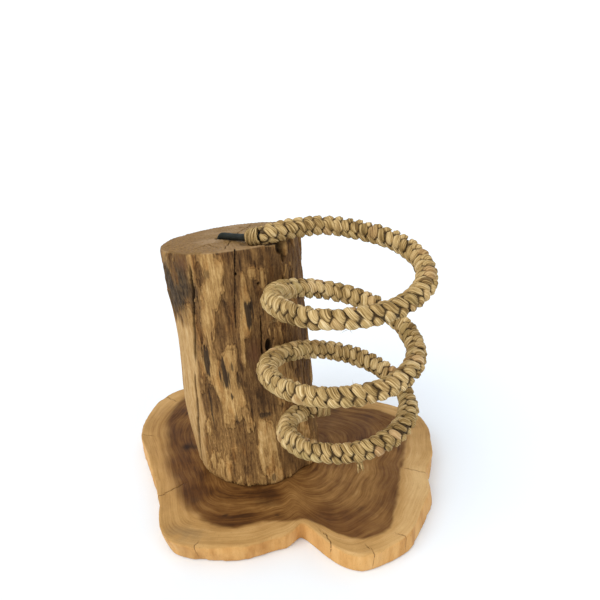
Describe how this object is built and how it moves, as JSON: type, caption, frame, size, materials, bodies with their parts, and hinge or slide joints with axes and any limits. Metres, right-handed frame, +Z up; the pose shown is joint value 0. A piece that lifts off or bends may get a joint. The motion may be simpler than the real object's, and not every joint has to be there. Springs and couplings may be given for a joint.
{
  "type": "bottle holder",
  "caption": "Rustic bottle holder: a leaning teak log on a lobed cross-cut slab, with a rope-covered iron rod coiled into a hanging spiral that cradles one bottle.",
  "frame": {"origin": "middle of the bounding box, on the slab's flat underside", "axes": "+Z up, -Y towards the viewer of the picture, +X to the viewer's right, the side of the coil"},
  "size_m": [0.2753, 0.2421, 0.2376],
  "materials": {
    "slab_wood": "sanded teak, pale sapwood rim round brown heartwood",
    "log_wood": "bark-stripped weathered teak, flaky and cracked",
    "rod_iron": "black forged iron, dull",
    "rope_braid": "braided seagrass, straw coloured and fibrous",
    "rope_twine": "tightly wound seagrass twine",
    "screw_steel": "zinc-plated steel"
  },
  "bodies": {
    "root": {"base_slab": "slab_wood", "log_post": "log_wood", "core_rod": "rod_iron", "rope_sheath": "rope_braid", "upper_binding": "rope_twine", "lower_binding": "rope_twine", "base_screw_1": "screw_steel", "base_screw_2": "screw_steel", "base_screw_3": "screw_steel"}
  },
  "joints": []
}
